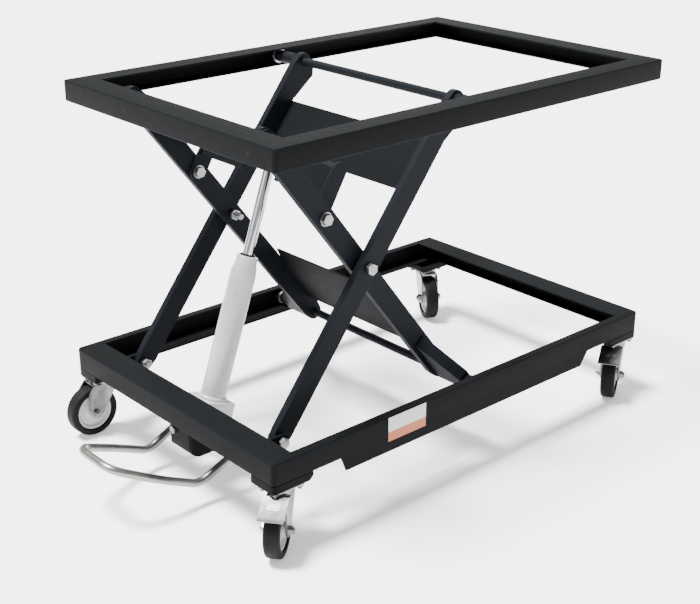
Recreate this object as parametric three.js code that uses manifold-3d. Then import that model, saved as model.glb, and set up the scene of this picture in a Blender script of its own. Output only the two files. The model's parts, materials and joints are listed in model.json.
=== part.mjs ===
// Foot-pumped scissor lift table on four casters, drawn raised. Millimetres, +Z up, +X away from the pedal.
import * as THREE from 'three';
import { mergeVertices } from 'three/addons/utils/BufferGeometryUtils.js';
import Module from 'manifold-3d';

const wasm = await Module();
wasm.setup();

// ---- overall sizes -------------------------------------------------------------------------------
const TABLE_LENGTH = 950;        // platform frame along X
const TABLE_WIDTH = 610;         // both frames across Y
const BASE_LENGTH = 960;         // base frame along X
const BASE_SHIFT = -13.6;        // base frame's middle, from the platform's middle
const BASE_TOP = 176;            // top of the base frame above the floor
const RAISED = 522;              // platform top above base top, as drawn
const GAP = 0.3;                 // space between separate pieces that touch in use

// ---- rails ---------------------------------------------------------------------------------------
const WALL = 3;                  // sheet thickness of the pressed rails
const TABLE_RAIL = 38;           // height of a platform rail
const BASE_RAIL = 41;            // height of a base rail
const SIDE_TOP = 45;             // platform side rail, width of its top flange
const SIDE_BOTTOM = 28;          // platform side rail, width of its bottom flange
const END_TOP = 52;              // end rails, width of the top flange
const TABLE_END_BOTTOM = 32;     // platform end rail, bottom flange
const BASE_LIP = 18;             // base side rail, narrow top lip
const BASE_TRACK = 38;           // base side rail, bottom flange that the rollers run on
const BASE_END_BOTTOM = 28;      // base end rail, bottom flange
const CORNER_R = 8;              // rounded corner of both frames, seen from above
const APRON_DROP = 27.5;         // how far the apron hangs below the base side rail
const APRON_LOW = [-336, 288];   // ends of the apron's bottom edge
const APRON_HIGH = [-349, 311];  // ends of the apron where it leaves the rail

// ---- scissor -------------------------------------------------------------------------------------
const FIXED_X = -407;            // fixed pivots, both frames
const ROLLER_X = 1;              // both roller axles, as drawn
const ROLLER_R = Math.min(15.2, (BASE_RAIL - 2 * WALL - 4.6) / 2);   // roller radius, which must fit its rail
const ROLLER_W = 20;             // roller width
const ARM_DEPTH = 40;            // arm tube, in the plane of the scissor
const ARM_THICK = 14;            // arm tube, across
const ARM_WALL = 3;
const ARM_END_R = 17;            // rounded arm ends
const OUTER_Y = 201;             // inner face of the outer arms
const INNER_Y = 178;             // inner face of the inner arms
const PIVOT_R = 6;               // pivot bolt shanks
const AXLE_R = ROLLER_R - 7.2;   // roller axle rods
const LUG_THICK = 6;
const OUTRIGGER_T = 24;

// ---- hydraulics ----------------------------------------------------------------------------------
const FRONT = BASE_SHIFT - BASE_LENGTH / 2;   // outer face of the pedal-end rail, which carries the pump
const PUMP_PIN = [FRONT + 82.6, 101];         // lower pin of the cylinder, X and Z
const LEVER_ALONG = 157;         // crossbar from the centre pivot, along the inner arm
const LEVER_OFF = 78;            // and square to it
const CROSSBAR_R = 11;
const LEVER_BOLT = 128.5;       // lever bolt from the centre pivot, along the inner arm
const TUBE_R = 23.5;
const NECK_R = 19.5;
const ROD_R = 9.75;
const TUBE_END = 322.7;          // top of the cylinder from its lower pin
const BLOCK = [60, 66, 35];      // pump block: across the axis, along Y, along the axis
const BLOCK_AT = 17.6;           // underside of the block from the lower pin

// ---- casters -------------------------------------------------------------------------------------
const WHEEL_R = 50;
const TYRE_W = 29;
const TRAIL = 29;                // kingpin to axle, seen from above
const KINGPIN_IN = [36, 26];     // kingpin from the frame's end face and side face
const PAD = [86, 61];            // caster pad under each base corner
const PAD_DEPTH = BASE_TOP - BASE_RAIL - GAP - 119.3;
const FORK_Y = 17;               // inner face of the fork legs
const FORK_T = 3;
const CROWN_Z = 104;             // underside of the fork crown
const SWIVEL = { front_right: -142.5, back_right: -149.7, front_left: -180, back_left: -120 };
const BRAKED = ['front_right', 'back_right'];

// ---- foot pedal ----------------------------------------------------------------------------------
const PEDAL_R = 7.5;
const PEDAL_PIN = [FRONT + 108.6, 86];
const PEDAL_SIDE = [[108.6, 86, 84], [61, 66, 84], [6.6, 42, 81], [-68.4, 76.5, 76], [-150.9, 117, 53]]
  .map(([along, z, y]) => [FRONT + along, z, y]);
const PEDAL_BENDS = [20, 20, 17, 30, 30];

// ---- derived -------------------------------------------------------------------------------------
const HALF_W = TABLE_WIDTH / 2;
const TABLE_TOP = BASE_TOP + RAISED;
const LOW_Z = BASE_TOP - BASE_RAIL + WALL + ROLLER_R + GAP;
const HIGH_Z = TABLE_TOP - WALL - ROLLER_R - GAP;
const BASE_ENDS = [BASE_SHIFT - BASE_LENGTH / 2, BASE_SHIFT + BASE_LENGTH / 2];
const RUN = ROLLER_X - FIXED_X;
const RISE = HIGH_Z - LOW_Z;
const ARM_LENGTH = Math.hypot(RUN, RISE);
const ANGLE = Math.atan2(RISE, RUN);
const CENTRE = [FIXED_X + RUN / 2, LOW_Z + RISE / 2];
const DIR_OUT = [Math.cos(ANGLE), Math.sin(ANGLE)];
const CROSSBAR = [CENTRE[0] - LEVER_ALONG * DIR_OUT[0] + LEVER_OFF * DIR_OUT[1],
  CENTRE[1] + LEVER_ALONG * DIR_OUT[1] + LEVER_OFF * DIR_OUT[0]];
const STROKE = [CROSSBAR[0] - PUMP_PIN[0], CROSSBAR[1] - PUMP_PIN[1]];
const PIN_TO_BAR = Math.hypot(...STROKE);
const LEAN = Math.atan2(STROKE[0], STROKE[1]);
const SIDES = { right: -1, left: 1 };

// ---- solid helpers -------------------------------------------------------------------------------
function solid(geometry) {
  const bare = geometry.index ? geometry.clone() : geometry;
  bare.deleteAttribute('normal');
  bare.deleteAttribute('uv');
  const joined = mergeVertices(bare, 1e-4);
  const mesh = new wasm.Mesh({
    numProp: 3,
    vertProperties: new Float32Array(joined.attributes.position.array),
    triVerts: new Uint32Array(joined.index.array),
  });
  return new wasm.Manifold(mesh);
}

function box(x0, x1, y0, y1, z0, z1) {
  const shape = new THREE.BoxGeometry(Math.abs(x1 - x0), Math.abs(y1 - y0), Math.abs(z1 - z0));
  return shape.translate((x0 + x1) / 2, (y0 + y1) / 2, (z0 + z1) / 2);
}

function rodY(x, z, r, y0, y1, sides = 16) {
  const shape = new THREE.CylinderGeometry(r, r, Math.abs(y1 - y0), sides);
  return shape.translate(x, (y0 + y1) / 2, z);
}

function rodZ(x, y, r, z0, z1, sides = 16) {
  const shape = new THREE.CylinderGeometry(r, r, z1 - z0, sides).rotateX(Math.PI / 2);
  return shape.translate(x, y, (z0 + z1) / 2);
}

function rodX(y, z, r, x0, x1, sides = 12) {
  const shape = new THREE.CylinderGeometry(r, r, x1 - x0, sides).rotateZ(Math.PI / 2);
  return shape.translate((x0 + x1) / 2, y, z);
}

// A flat outline in X and Z, given thickness along Y.
function sidePlate(points, y0, y1) {
  const outline = new THREE.Shape(points.map(([x, z]) => new THREE.Vector2(x, z)));
  const low = Math.min(y0, y1);
  const depth = Math.abs(y1 - y0);
  return new THREE.ExtrudeGeometry(outline, { depth, bevelEnabled: false }).rotateX(Math.PI / 2)
    .translate(0, low + depth, 0);
}

// A flat outline in X and Y, given thickness along Z.
function planPlate(points, z0, z1) {
  const outline = new THREE.Shape(points.map(([x, y]) => new THREE.Vector2(x, y)));
  return new THREE.ExtrudeGeometry(outline, { depth: z1 - z0, bevelEnabled: false }).translate(0, 0, z0);
}

function arc(cx, cz, r, from, to, steps) {
  const turn = (i) => from + (to - from) * i / steps;
  return Array.from({ length: steps + 1 }, (_, i) => [cx + r * Math.cos(turn(i)), cz + r * Math.sin(turn(i))]);
}

function join(...shapes) {
  return shapes.map(solid).reduce((a, b) => a.add(b));
}

function cut(body, ...shapes) {
  return shapes.map(solid).reduce((a, b) => a.subtract(b), body);
}

const COLOURS = { frame: 0x2d2f31, arm: 0x31353b, zinc: 0xb9bcbe, steel: 0xc9ccd0, paint: 0xdfe0de, tyre: 0x161616,
  hub: 0xd8d8d6, label: 0xf4f2ee };
const group = new THREE.Group();

function add(name, body, colour) {
  const data = body.getMesh();
  const geometry = new THREE.BufferGeometry();
  const xyz = new Float32Array(data.numVert * 3);
  for (let i = 0; i < data.numVert; i += 1) {
    for (let k = 0; k < 3; k += 1) xyz[i * 3 + k] = data.vertProperties[i * data.numProp + k];
  }
  geometry.setAttribute('position', new THREE.BufferAttribute(xyz, 3));
  geometry.setIndex(new THREE.BufferAttribute(new Uint32Array(data.triVerts), 1));
  const mesh = new THREE.Mesh(geometry, new THREE.MeshStandardMaterial({ color: COLOURS[colour] }));
  mesh.name = name;
  group.add(mesh);
}

// ---- frames --------------------------------------------------------------------------------------
// Rounded rectangle seen from above, which trims the corners of a frame's rails.
function framePlan(ends, z0, z1) {
  const quarter = Math.PI / 2;
  const corners = [[ends[1], HALF_W, 0], [ends[0], HALF_W, 1], [ends[0], -HALF_W, 2], [ends[1], -HALF_W, 3]];
  const points = corners.flatMap(([x, y, n]) => arc(x - Math.sign(x - (ends[0] + ends[1]) / 2) * CORNER_R,
    y - Math.sign(y) * CORNER_R, CORNER_R, n * quarter, (n + 1) * quarter, 5));
  return solid(planPlate(points, z0 - 1, z1 + 1));
}

function sideRail(ends, side, top, height, flangeTop, flangeBottom) {
  const low = top - height;
  const outer = side * HALF_W;
  const short = [ends[0] + WALL + GAP, ends[1] - WALL - GAP];
  return join(
    box(ends[0], ends[1], outer, outer - side * WALL, low, top),
    box(short[0], short[1], outer - side, outer - side * flangeTop, top - WALL, top),
    box(short[0], short[1], outer - side, outer - side * flangeBottom, low, low + WALL),
  ).intersect(framePlan(ends, low, top));
}

function endRail(face, inward, top, height, sideTop, sideBottom, flangeBottom) {
  const low = top - height;
  const web = HALF_W - WALL - GAP;
  const upper = HALF_W - sideTop - GAP;
  const lower = HALF_W - sideBottom - GAP;
  return join(
    box(face, face + inward * WALL, -web, web, low, top),
    box(face + inward, face + inward * END_TOP, -upper, upper, top - WALL, top),
    box(face + inward, face + inward * flangeBottom, -lower, lower, low, low + WALL),
  ).intersect(framePlan(inward > 0 ? [face, face + 900] : [face - 900, face], low, top));
}

const TABLE_ENDS = [-TABLE_LENGTH / 2, TABLE_LENGTH / 2];
const APRON_Z = BASE_TOP - BASE_RAIL;
for (const [word, side] of Object.entries(SIDES)) {
  add(`platform_rail_${word}`, sideRail(TABLE_ENDS, side, TABLE_TOP, TABLE_RAIL, SIDE_TOP, SIDE_BOTTOM), 'frame');
  const outline = [[APRON_LOW[0], APRON_Z - APRON_DROP], [APRON_LOW[1], APRON_Z - APRON_DROP],
    [APRON_HIGH[1], APRON_Z + 1], [APRON_HIGH[0], APRON_Z + 1]];
  const apron = solid(sidePlate(outline, side * (HALF_W - WALL), side * HALF_W));
  const rail = sideRail(BASE_ENDS, side, BASE_TOP, BASE_RAIL, BASE_LIP, BASE_TRACK).add(apron);
  add(`base_rail_${word}`, rail, 'frame');
}
// Lugs welded inside a pedal-end rail, which hold the fixed pivots.
function lug(face, z, y, side) {
  const nose = arc(FIXED_X, z, ROLLER_R - GAP, Math.PI / 2, -Math.PI / 2, 10);
  const foot = face + WALL - 1;
  const outline = [[foot, z - ROLLER_R + GAP], [foot, z + ROLLER_R - GAP], ...nose];
  const plate = solid(sidePlate(outline.reverse(), side * y, side * (y + LUG_THICK)));
  return cut(plate, rodY(FIXED_X, z, PIVOT_R + GAP, side * (y - 1), side * (y + LUG_THICK + 1)));
}

function withLugs(rail, face, z, y) {
  return rail.add(lug(face, z, y, -1)).add(lug(face, z, y, 1));
}

const OUTER_FACE = OUTER_Y + ARM_THICK;
const INNER_FACE = INNER_Y + ARM_THICK;
const HOLE_R = 3.2;
const frontTable = withLugs(endRail(TABLE_ENDS[0], 1, TABLE_TOP, TABLE_RAIL, SIDE_TOP, SIDE_BOTTOM, TABLE_END_BOTTOM),
  TABLE_ENDS[0], HIGH_Z, INNER_FACE + 1);
const tableHoles = [-240, 100].map((y) => rodX(y, TABLE_TOP - TABLE_RAIL / 2, HOLE_R, TABLE_ENDS[0] - 1,
  TABLE_ENDS[0] + WALL + 1, 16));
add('platform_rail_front', cut(frontTable, ...tableHoles), 'frame');
add('platform_rail_back', endRail(TABLE_ENDS[1], -1, TABLE_TOP, TABLE_RAIL, SIDE_TOP, SIDE_BOTTOM,
  TABLE_END_BOTTOM), 'frame');
const frontBase = endRail(BASE_ENDS[0], 1, BASE_TOP, BASE_RAIL, BASE_LIP, BASE_TRACK, BASE_END_BOTTOM);
add('base_rail_front', withLugs(frontBase, BASE_ENDS[0], LOW_Z, OUTER_FACE + 1), 'frame');
add('base_rail_back', endRail(BASE_ENDS[1], -1, BASE_TOP, BASE_RAIL, BASE_LIP, BASE_TRACK, BASE_END_BOTTOM),
  'frame');

// ---- fixed pivot bolts ----------------------------------------------------------------------------
// A hexagon bolt along Y: head outside, shank, nut and thread end inside.
function bolt(x, z, side, head, headEnd, nut, nutEnd, tip, collar) {
  const parts = [rodY(x, z, PIVOT_R, side * tip, side * (head + 1)),
    rodY(x, z, 11, side * head, side * headEnd, 6),
    rodY(x, z, 11, side * nutEnd, side * nut, 6)];
  if (collar) parts.push(rodY(x, z, 13, side * collar[0], side * collar[1]));
  return join(...parts);
}

for (const [word, side] of Object.entries(SIDES)) {
  const lowHead = OUTER_FACE + 1 + LUG_THICK + GAP;
  add(`base_pivot_bolt_${word}`, bolt(FIXED_X, LOW_Z, side, lowHead, lowHead + 7, OUTER_Y - GAP, OUTER_Y - 9,
    OUTER_Y - 14), 'zinc');
  const highHead = INNER_FACE + 1 + LUG_THICK + GAP;
  add(`platform_pivot_bolt_${word}`, bolt(FIXED_X, HIGH_Z, side, highHead, highHead + 6, INNER_Y - GAP,
    INNER_Y - 10, INNER_Y - 22), 'zinc');
}

// ---- scissor arms --------------------------------------------------------------------------------
// An arm lies along +X from its lower axis, and is then turned into place.
function armTube(y, side, holes, lean) {
  const half = ARM_DEPTH / 2;
  const shape = (grow, from) => [...arc(0, 0, ARM_END_R + grow, Math.PI * 1.4, Math.PI * 0.6, 6), [from, half + grow],
    [ARM_LENGTH - from, half + grow], ...arc(ARM_LENGTH, 0, ARM_END_R + grow, Math.PI * 0.4, -Math.PI * 0.4, 6),
    [ARM_LENGTH - from, -half - grow], [from, -half - grow]].reverse();
  const skin = solid(sidePlate(shape(0, 14), side * y, side * (y + ARM_THICK)));
  const hollow = sidePlate(shape(-ARM_WALL, 14), side * (y + ARM_WALL), side * (y + ARM_THICK - ARM_WALL));
  const bores = holes.map(([u, r]) => rodY(u, 0, r + GAP, side * (y - 1), side * (y + ARM_THICK + 1)));
  return cut(skin, hollow, ...bores);
}

function place(body, x, z, angle) {
  const turn = new THREE.Matrix4().makeRotationY(-angle).setPosition(x, 0, z);
  return body.transform(turn.toArray());
}

const MID = ARM_LENGTH / 2;
function kinkedTop(y, side) {
  const outline = [[-20, -26], [-20, -11], ...arc(0, 0, 16, Math.PI * 0.8, Math.PI * 0.2, 6), [23, -8],
    [21, -30], [-26, -68]];
  return sidePlate(outline.reverse(), side * y, side * (y + ARM_THICK)).translate(ROLLER_X, 0, HIGH_Z);
}

for (const [word, side] of Object.entries(SIDES)) {
  const tube = armTube(OUTER_Y, side, [[0, PIVOT_R], [MID, PIVOT_R], [ARM_LENGTH, AXLE_R]]);
  const top = solid(kinkedTop(OUTER_Y, side));
  const axleHole = rodY(ROLLER_X, HIGH_Z, AXLE_R + GAP, side * (OUTER_Y - 1), side * (OUTER_FACE + 1));
  add(`outer_arm_${word}`, cut(place(tube, FIXED_X, LOW_Z, ANGLE).add(top), axleHole), 'arm');
  add(`centre_bolt_${word}`, bolt(CENTRE[0], CENTRE[1], side, OUTER_FACE + GAP, OUTER_FACE + 10, INNER_Y - GAP,
    INNER_Y - 12, INNER_Y - 28, [INNER_FACE + 1, OUTER_Y - 1]), 'zinc');
}
const axleSpan = HALF_W - WALL - 1.5;
function rollerAxle(x, z, collarFrom, nutFrom) {
  const collars = [-1, 1].flatMap((s) => [rodY(x, z, ROLLER_R - 3.7, s * collarFrom, s * (HALF_W - WALL - ROLLER_W - 4)),
    rodY(x, z, ROLLER_R - 1.7, s * nutFrom, s * (nutFrom + 6), 6)]);
  return join(rodY(x, z, AXLE_R, -axleSpan, axleSpan), ...collars);
}
add('upper_axle', rollerAxle(ROLLER_X, HIGH_Z, OUTER_FACE + GAP, OUTER_FACE + 8), 'arm');

const UPPER_PLATE = [152, 255];  // span along the outer arms, from the centre pivot
const upperPlate = solid(box(MID + UPPER_PLATE[0], MID + UPPER_PLATE[1], -OUTER_Y + GAP, OUTER_Y - GAP,
  -ARM_DEPTH / 2, -ARM_DEPTH / 2 + 4));
add('upper_cross_plate', place(upperPlate, FIXED_X, LOW_Z, ANGLE), 'arm');

// Inner arms lean the other way, so their own +Z side faces down and towards the pedal.
const INNER_ANGLE = Math.PI - ANGLE;
const OUTRIGGER_END = HALF_W - BASE_TRACK - 3;
function outrigger(side) {
  const nose = ARM_END_R - 3;
  const points = [[-nose, INNER_FACE - ARM_WALL], [96, INNER_FACE - ARM_WALL], [96, INNER_FACE + 4],
    [nose + 4, OUTRIGGER_END], [-nose, OUTRIGGER_END]].map(([u, y]) => [u, side * y]);
  const plan = side > 0 ? points : points.reverse();
  return planPlate(plan, -OUTRIGGER_T / 2, OUTRIGGER_T / 2);
}
for (const [word, side] of Object.entries(SIDES)) {
  const tube = armTube(INNER_Y, side, [[MID, PIVOT_R], [ARM_LENGTH, PIVOT_R], [0, AXLE_R]]);
  const bore = rodY(0, 0, AXLE_R + GAP, side * (INNER_Y - 1), side * (OUTRIGGER_END + 1));
  const arm = cut(tube.add(solid(outrigger(side))), bore);
  add(`inner_arm_${word}`, place(arm, ROLLER_X, LOW_Z, INNER_ANGLE), 'arm');
}
add('lower_axle', rollerAxle(ROLLER_X, LOW_Z, OUTRIGGER_END + GAP, OUTRIGGER_END + 2), 'arm');

// Bent plate between the inner arms: a main panel along the arms and a steeper upper flange.
const FOLD = [MID - 205.8, -14];
const bentOutline = [[MID - 297.6, -12], [MID - 297.6, -16], [FOLD[0], FOLD[1] - 2], [MID - 143, -26.4],
  [MID - 142, -22.4], [FOLD[0], FOLD[1] + 2]];
const bent = solid(sidePlate(bentOutline, -INNER_Y + GAP, INNER_Y - GAP));
add('lower_cross_plate', place(bent, ROLLER_X, LOW_Z, INNER_ANGLE), 'arm');

// Lever plates and the bar that the cylinder pushes on.
const LEVER_T = 6;
const LEVER_FOOT = [CENTRE[0] - LEVER_BOLT * DIR_OUT[0], CENTRE[1] + LEVER_BOLT * DIR_OUT[1]];
const leverTurn = Math.atan2(CROSSBAR[1] - LEVER_FOOT[1], CROSSBAR[0] - LEVER_FOOT[0]);
for (const [word, side] of Object.entries(SIDES)) {
  const q = Math.PI / 2;
  const outline = [...arc(...LEVER_FOOT, 18, leverTurn + 3 * q, leverTurn + q, 10),
    ...arc(...CROSSBAR, 16, leverTurn + q, leverTurn - q, 12)].reverse();
  const inner = side * (INNER_Y - GAP);
  const plate = solid(sidePlate(outline, inner, inner - side * LEVER_T));
  const shank = rodY(...LEVER_FOOT, 5 + GAP, inner + side, inner - side * (LEVER_T + 1));
  add(`lever_${word}`, cut(plate, shank), 'arm');
}
const barEnd = INNER_Y - LEVER_T - 2 * GAP;
// Stiffeners behind the levers, left open in the middle for the piston rod.
const WEB_FROM = 45;
const onLever = (down, out) => [CROSSBAR[0] - down * Math.cos(leverTurn) - out * Math.sin(leverTurn),
  CROSSBAR[1] - down * Math.sin(leverTurn) + out * Math.cos(leverTurn)];
const webOutline = [onLever(-2, 8), onLever(-2, 12), onLever(52, 12), onLever(52, 8)];
const webs = [-1, 1].map((s) => sidePlate(webOutline, s * WEB_FROM, s * barEnd));
add('lever_crossbar', join(rodY(...CROSSBAR, CROSSBAR_R, -barEnd, barEnd, 32), ...webs), 'arm');

// ---- rollers -------------------------------------------------------------------------------------
const ROLLER_OUT = HALF_W - WALL - 3;
function roller(x, z, side) {
  const body = solid(rodY(x, z, ROLLER_R, side * (ROLLER_OUT - ROLLER_W), side * ROLLER_OUT, 24));
  return cut(body, rodY(x, z, AXLE_R + GAP, side * (ROLLER_OUT - ROLLER_W - 1), side * (ROLLER_OUT + 1)));
}
for (const [word, side] of Object.entries(SIDES)) {
  add(`upper_roller_${word}`, roller(ROLLER_X, HIGH_Z, side), 'steel');
  add(`lower_roller_${word}`, roller(ROLLER_X, LOW_Z, side), 'steel');
}

// ---- cylinder and pump: drawn upright from the lower pin, then leaned --------------------------
function lean(body) {
  const turn = new THREE.Matrix4().makeRotationY(LEAN).setPosition(PUMP_PIN[0], 0, PUMP_PIN[1]);
  return body.transform(turn.toArray());
}
function turned(profile, sides = 24) {
  const points = profile.map(([r, z]) => new THREE.Vector2(r, z));
  return solid(new THREE.LatheGeometry(points, sides).rotateX(Math.PI / 2));
}

const TUBE_START = BLOCK_AT + BLOCK[2] + GAP;
const BORE = ROD_R + GAP;
const CHAMBER = TUBE_R - 5;
const tube = turned([[0, TUBE_START], [TUBE_R, TUBE_START], [TUBE_R, TUBE_END - 36], [NECK_R + 1, TUBE_END - 17],
  [NECK_R, TUBE_END - 14], [NECK_R, TUBE_END - 2], [NECK_R - 2, TUBE_END], [BORE, TUBE_END], [BORE, TUBE_END - 48],
  [CHAMBER, TUBE_END - 48], [CHAMBER, TUBE_START + 7], [0, TUBE_START + 7]]);
add('cylinder_tube', lean(tube), 'paint');

const HEAD_T = 13;
const HEAD_TOP = PIN_TO_BAR - CROSSBAR_R - GAP;
const ROD_TOP = HEAD_TOP - HEAD_T - GAP;
const PISTON = TUBE_START + 162;
const rod = turned([[0, PISTON], [CHAMBER - GAP, PISTON], [CHAMBER - GAP, PISTON + 12], [ROD_R, PISTON + 12],
  [ROD_R, ROD_TOP], [0, ROD_TOP]]);
add('piston_rod', lean(rod), 'steel');
const CUP = 2;
const pad = solid(rodZ(0, 0, 14, HEAD_TOP - HEAD_T, HEAD_TOP + CUP, 32));
const cup = rodY(0, PIN_TO_BAR, CROSSBAR_R + GAP, -20, 20, 32);
add('rod_head', lean(cut(pad, cup)), 'zinc');

const lugHalf = 20;
const blockLug = sidePlate([...arc(0, 0, 14, Math.PI, 2 * Math.PI, 10), [14, BLOCK_AT + 1], [-14, BLOCK_AT + 1]],
  -lugHalf, lugHalf);
const blockBody = join(box(-BLOCK[0] / 2, BLOCK[0] / 2, -BLOCK[1] / 2, BLOCK[1] / 2, BLOCK_AT, BLOCK_AT + BLOCK[2]),
  blockLug);
add('pump_block', lean(cut(blockBody, rodY(0, 0, PIVOT_R + GAP, -lugHalf - 1, lugHalf + 1))), 'paint');

// ---- pump bracket under the pedal-end rail ---------------------------------------------------------
const BRACKET_Y = BLOCK[1] / 2 + WALL + 1;
const BRACKET_TOP = BASE_TOP - BASE_RAIL - GAP;
const BRACKET_LOW = 65;
const BRACKET_X = FRONT + 24.6;
const bracketSide = [[0, BRACKET_TOP], [0, BRACKET_LOW + 16], [5, BRACKET_LOW + 5], [16, BRACKET_LOW],
  [77, BRACKET_LOW], [94, 76], [95.5, 88], [91, 95], [81, 97], [58, 113], [35, 120],
  [31, BRACKET_TOP]].map(([along, z]) => [BRACKET_X + along, z]);
const bracketHollow = [[WALL, 200], [WALL, BRACKET_LOW + 16.6], [7.3, BRACKET_LOW + 7.3],
  [16.6, BRACKET_LOW + WALL], [169, BRACKET_LOW + WALL], [169, 200]].map(([along, z]) => [BRACKET_X + along, z]);
const SCREW = [15, 106.5];        // screw in the bracket's outer face, Y and Z
// The bracket seen from above, with its two outer corners rounded.
function bracketPlan(inset, radius) {
  const [x, y] = [BRACKET_X + inset, BRACKET_Y - inset];
  return solid(planPlate([[x + 200, y], ...arc(x + radius, y - radius, radius, Math.PI / 2, Math.PI, 4),
    ...arc(x + radius, radius - y, radius, Math.PI, Math.PI * 1.5, 4), [x + 200, -y]], 0, 300));
}
const bracketSkin = solid(sidePlate(bracketSide, -BRACKET_Y, BRACKET_Y)).intersect(bracketPlan(0, 12));
const bracketRoom = solid(sidePlate(bracketHollow, -BRACKET_Y + WALL, BRACKET_Y - WALL))
  .intersect(bracketPlan(WALL, 12 - WALL));
const bracket = cut(bracketSkin.subtract(bracketRoom), rodY(...PUMP_PIN, PIVOT_R + GAP, -BRACKET_Y - 1, BRACKET_Y + 1),
  rodY(...PEDAL_PIN, PEDAL_R + 2 * GAP, -BRACKET_Y - 1, BRACKET_Y + 1),
  rodX(...SCREW, 4 + GAP, BRACKET_X - 1, BRACKET_X + WALL + 1));
add('pump_bracket', bracket, 'frame');
add('pump_pin', join(rodY(...PUMP_PIN, PIVOT_R, -BRACKET_Y - 5, BRACKET_Y + 5),
  rodY(...PUMP_PIN, 9, BRACKET_Y + GAP, BRACKET_Y + 5),
  rodY(...PUMP_PIN, 9, -BRACKET_Y - 5, -BRACKET_Y - GAP)), 'zinc');
add('bracket_screw', join(rodX(...SCREW, 4, BRACKET_X - 4, BRACKET_X + WALL + 8),
  rodX(...SCREW, 8, BRACKET_X - 6, BRACKET_X - GAP, 6),
  rodX(...SCREW, 8, BRACKET_X + WALL + GAP, BRACKET_X + WALL + 6, 6)), 'zinc');

// ---- foot pedal: one bent bar with its cross shaft -------------------------------------------------
function bentBar(points, bends) {
  const path = new THREE.CurvePath();
  let from = points[0];
  for (let i = 1; i < points.length - 1; i += 1) {
    const back = points[i].clone().sub(points[i - 1]).normalize().multiplyScalar(bends[i - 1]);
    const on = points[i + 1].clone().sub(points[i]).normalize().multiplyScalar(bends[i - 1]);
    const start = points[i].clone().sub(back);
    const end = points[i].clone().add(on);
    path.add(new THREE.LineCurve3(from, start));
    path.add(new THREE.QuadraticBezierCurve3(start, points[i], end));
    from = end;
  }
  path.add(new THREE.LineCurve3(from, points[points.length - 1]));
  const ring = new THREE.Shape(arc(0, 0, PEDAL_R, 0, 2 * Math.PI * 7 / 8, 7).map(([a, b]) => new THREE.Vector2(a, b)));
  return new THREE.ExtrudeGeometry(ring, { steps: 48, bevelEnabled: false, extrudePath: path });
}
const pedalPoint = (side) => ([x, z, y]) => new THREE.Vector3(x, side * y, z);
const pedalPath = [new THREE.Vector3(PEDAL_PIN[0], 8, PEDAL_PIN[1]), ...PEDAL_SIDE.map(pedalPoint(1)),
  ...PEDAL_SIDE.map(pedalPoint(-1)).reverse(), new THREE.Vector3(PEDAL_PIN[0], -8, PEDAL_PIN[1])];
const cam = rodY(...PEDAL_PIN, 10, -16, 16);
add('foot_pedal', join(bentBar(pedalPath, [...PEDAL_BENDS, ...[...PEDAL_BENDS].reverse()]), cam), 'steel');

// ---- casters -------------------------------------------------------------------------------------
const PAD_TOP = BASE_TOP - BASE_RAIL - GAP;
const PLATE_TOP = PAD_TOP - PAD_DEPTH - GAP;
const HEAD_LOW = PLATE_TOP - 3;
const RING_TOP = CROWN_Z + 6.2;

function pad4(end, side) {
  const face = BASE_ENDS[end];
  const inward = end === 0 ? 1 : -1;
  const low = PAD_TOP - PAD_DEPTH;
  const across = [side * HALF_W, side * (HALF_W - PAD[1])];
  const slope = 8;
  const profile = [[face, PAD_TOP], [face + inward * PAD[0], PAD_TOP], [face + inward * PAD[0], low + slope],
    [face + inward * (PAD[0] - slope), low], [face, low]];
  const tidy = inward > 0 ? profile.reverse() : profile;
  const block = solid(sidePlate(tidy, ...across)).intersect(framePlan(BASE_ENDS, low, PAD_TOP));
  const well = box(face + inward * WALL, face + inward * (PAD[0] - slope), side * (HALF_W - WALL),
    side * (HALF_W - PAD[1] + WALL), low + WALL, PAD_TOP + 1);
  return cut(block, well);
}

function headPlate() {
  return join(box(-32, 32, -24, 24, HEAD_LOW, PLATE_TOP), rodZ(0, 0, 23, RING_TOP + GAP, HEAD_LOW + 1, 24),
    rodZ(0, 0, 5, CROWN_Z - 4, HEAD_LOW + 1), rodZ(0, 0, 9, CROWN_Z - 5, CROWN_Z - GAP, 6));
}

const AXLE = [TRAIL, WHEEL_R];
const BRAKE_PIN = [TRAIL + 7, 94];
function fork(braked) {
  const leg = [[-20, CROWN_Z + FORK_T], [-20, 99], [17, 43], ...arc(...AXLE, 13, Math.PI * 1.15, Math.PI * 1.95, 5),
    [43, 92], [31, CROWN_Z + FORK_T]];
  const plates = [-1, 1].map((s) => sidePlate(leg, s * FORK_Y, s * (FORK_Y + FORK_T)));
  const wide = FORK_Y + FORK_T;
  const ends = [-1, 1].map((s) => rodY(...AXLE, 8.5, s * (wide - 1), s * (wide + 6), 6));
  const body = join(...plates, box(-20, 30, -wide, wide, CROWN_Z, CROWN_Z + FORK_T),
    rodZ(0, 0, 23, CROWN_Z, RING_TOP, 24), rodY(...AXLE, 5, -29.5, 29.5, 12), ...ends);
  const holes = [rodZ(0, 0, 5 + GAP, CROWN_Z - 1, RING_TOP + 1)];
  if (braked) holes.push(rodY(...BRAKE_PIN, 3 + GAP, -wide - 1, wide + 1, 16));
  return cut(body, ...holes);
}

const RIM_R = 37;
function hub() {
  const body = join(rodY(...AXLE, RIM_R, -10, 10, 24), rodY(...AXLE, 13, -FORK_Y + 1, FORK_Y - 1, 16));
  return cut(body, rodY(...AXLE, 5 + GAP, -20, 20, 12));
}
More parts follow.
